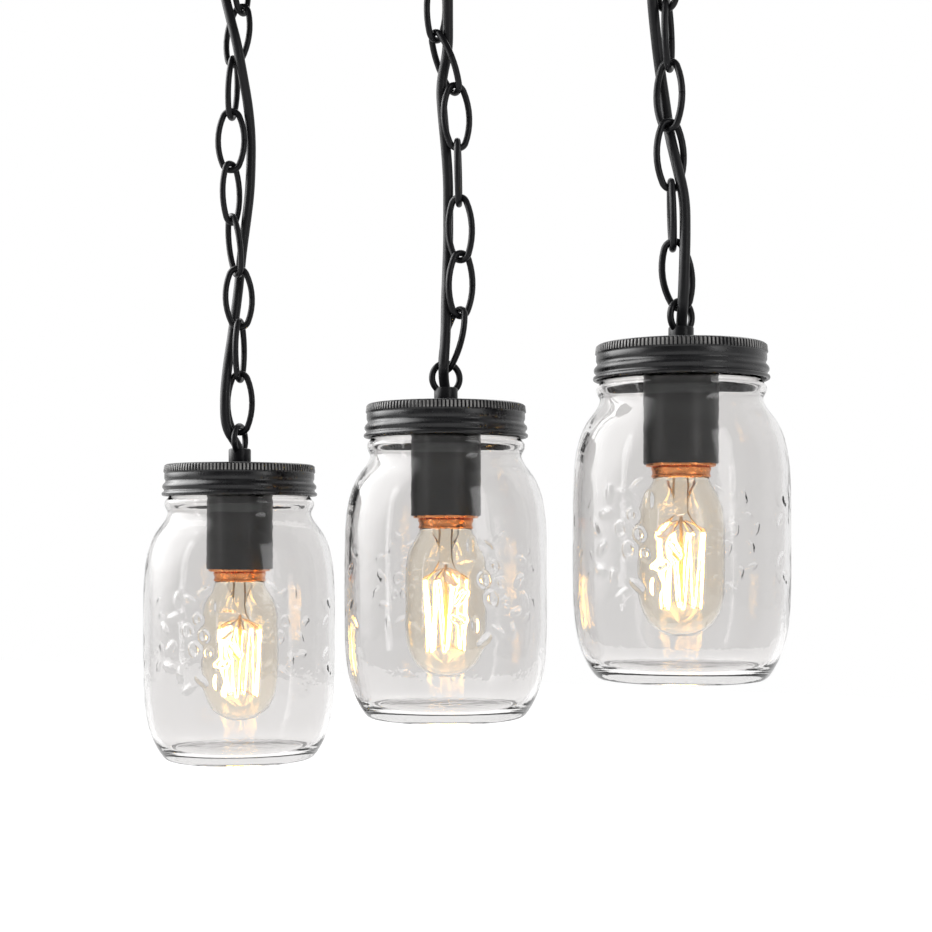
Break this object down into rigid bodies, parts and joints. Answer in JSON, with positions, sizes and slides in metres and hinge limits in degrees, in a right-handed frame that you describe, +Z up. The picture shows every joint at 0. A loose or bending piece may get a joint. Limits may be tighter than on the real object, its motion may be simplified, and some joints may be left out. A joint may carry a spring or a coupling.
{
  "type": "glass jar pendant light",
  "caption": "Row pendant light: glass jars with screwed-on lamp holder lids hang on chains with cords from a long canopy.",
  "frame": {"origin": "on the ceiling, at the middle of the canopy's upper face, over the middle jar", "axes": "+X along the row of jars, +Y to the back, +Z up"},
  "size_m": [0.33, 0.094, 0.439],
  "materials": {
    "black_enamel": "satin black enamel on steel",
    "zinc_steel": "zinc plated",
    "cord_black": "smooth black PVC sheath",
    "holder_black": "matte dark grey",
    "holder_inner": "matte dark brown phenolic",
    "brass": "warm copper-coloured brass",
    "jar_glass": "clear pressed soda glass",
    "bulb_glass": "clear blown glass",
    "glowing_wire": "glowing filament wire",
    "white_plastic": "white moulded plastic"
  },
  "bodies": {
    "canopy": {"canopy_cover": "black_enamel", "mounting_bracket": "zinc_steel", "bracket_studs": "zinc_steel", "cap_nuts": "black_enamel", "terminal_block": "white_plastic", "earth_screw": "brass", "canopy_loops": "black_enamel", "canopy_nuts": "zinc_steel"},
    "left_top_link": {"left_top_link": "black_enamel"},
    "left_chain": {"left_chain": "black_enamel", "left_cord": "cord_black"},
    "left_head": {"left_hanging_loop": "black_enamel", "left_loop_nut": "zinc_steel", "left_screw_lid": "black_enamel", "left_socket_cover": "holder_black", "left_socket_body": "holder_inner", "left_socket_shell": "brass"},
    "left_jar": {"left_jar": "jar_glass"},
    "left_bulb": {"left_bulb_cap": "brass", "left_bulb_glass": "bulb_glass", "left_bulb_mount": "bulb_glass", "left_bulb_filament": "glowing_wire"},
    "middle_top_link": {"middle_top_link": "black_enamel"},
    "middle_chain": {"middle_chain": "black_enamel", "middle_cord": "cord_black"},
    "middle_head": {"middle_hanging_loop": "black_enamel", "middle_loop_nut": "zinc_steel", "middle_screw_lid": "black_enamel", "middle_socket_cover": "holder_black", "middle_socket_body": "holder_inner", "middle_socket_shell": "brass"},
    "middle_jar": {"middle_jar": "jar_glass"},
    "middle_bulb": {"middle_bulb_cap": "brass", "middle_bulb_glass": "bulb_glass", "middle_bulb_mount": "bulb_glass", "middle_bulb_filament": "glowing_wire"},
    "right_top_link": {"right_top_link": "black_enamel"},
    "right_chain": {"right_chain": "black_enamel", "right_cord": "cord_black"},
    "right_head": {"right_hanging_loop": "black_enamel", "right_loop_nut": "zinc_steel", "right_screw_lid": "black_enamel", "right_socket_cover": "holder_black", "right_socket_body": "holder_inner", "right_socket_shell": "brass"},
    "right_jar": {"right_jar": "jar_glass"},
    "right_bulb": {"right_bulb_cap": "brass", "right_bulb_glass": "bulb_glass", "right_bulb_mount": "bulb_glass", "right_bulb_filament": "glowing_wire"}
  },
  "joints": [
    {"name": "left_swing", "type": "hinge", "parent": "canopy", "child": "left_top_link", "pos_m": [-0.1136, 0, -0.0452], "axis": [1, 0, 0], "range_deg": [-20, 20], "deforming": ["left_cord"]},
    {"name": "left_sway", "type": "hinge", "parent": "left_top_link", "child": "left_chain", "pos_m": [-0.1127, 0.00043, -0.07118], "axis": [0, 1, 0], "range_deg": [-1, 1], "deforming": ["left_cord"]},
    {"name": "left_rock", "type": "hinge", "parent": "left_chain", "child": "left_head", "pos_m": [-0.1136, 0, -0.27864], "axis": [1, 0, 0], "range_deg": [-6, 6], "deforming": ["left_cord"]},
    {"name": "left_jar_unscrew", "type": "slide", "parent": "left_head", "child": "left_jar", "axis": [0, 0, 1], "range_m": [-0.135, 0]},
    {"name": "left_bulb_unscrew", "type": "hinge", "parent": "left_head", "child": "left_bulb", "pos_m": [-0.1136, 0, -0.35454], "axis": [0, 0, -1], "range_deg": [0, 900]},
    {"name": "middle_swing", "type": "hinge", "parent": "canopy", "child": "middle_top_link", "pos_m": [0, 0, -0.0446], "axis": [1, 0, 0], "range_deg": [-20, 20], "deforming": ["middle_cord"]},
    {"name": "middle_sway", "type": "hinge", "parent": "middle_top_link", "child": "middle_chain", "pos_m": [-0.00361, -0.00172, -0.07029], "axis": [0, 1, 0], "range_deg": [-1, 1], "deforming": ["middle_cord"]},
    {"name": "middle_rock", "type": "hinge", "parent": "middle_chain", "child": "middle_head", "pos_m": [0, 0, -0.25289], "axis": [1, 0, 0], "range_deg": [-6, 6], "deforming": ["middle_cord"]},
    {"name": "middle_jar_unscrew", "type": "slide", "parent": "middle_head", "child": "middle_jar", "axis": [0, 0, 1], "range_m": [-0.135, 0]},
    {"name": "middle_bulb_unscrew", "type": "hinge", "parent": "middle_head", "child": "middle_bulb", "pos_m": [0, 0, -0.32879], "axis": [0, 0, -1], "range_deg": [0, 900]},
    {"name": "right_swing", "type": "hinge", "parent": "canopy", "child": "right_top_link", "pos_m": [0.1136, 0, -0.0498], "axis": [1, 0, 0], "range_deg": [-20, 20], "deforming": ["right_cord"]},
    {"name": "right_sway", "type": "hinge", "parent": "right_top_link", "child": "right_chain", "pos_m": [0.10927, -0.00207, -0.07535], "axis": [0, 1, 0], "range_deg": [-1, 1], "deforming": ["right_cord"]},
    {"name": "right_rock", "type": "hinge", "parent": "right_chain", "child": "right_head", "pos_m": [0.1136, 0, -0.23104], "axis": [1, 0, 0], "range_deg": [-6, 6], "deforming": ["right_cord"]},
    {"name": "right_jar_unscrew", "type": "slide", "parent": "right_head", "child": "right_jar", "axis": [0, 0, 1], "range_m": [-0.135, 0]},
    {"name": "right_bulb_unscrew", "type": "hinge", "parent": "right_head", "child": "right_bulb", "pos_m": [0.1136, 0, -0.30694], "axis": [0, 0, -1], "range_deg": [0, 900]}
  ]
}
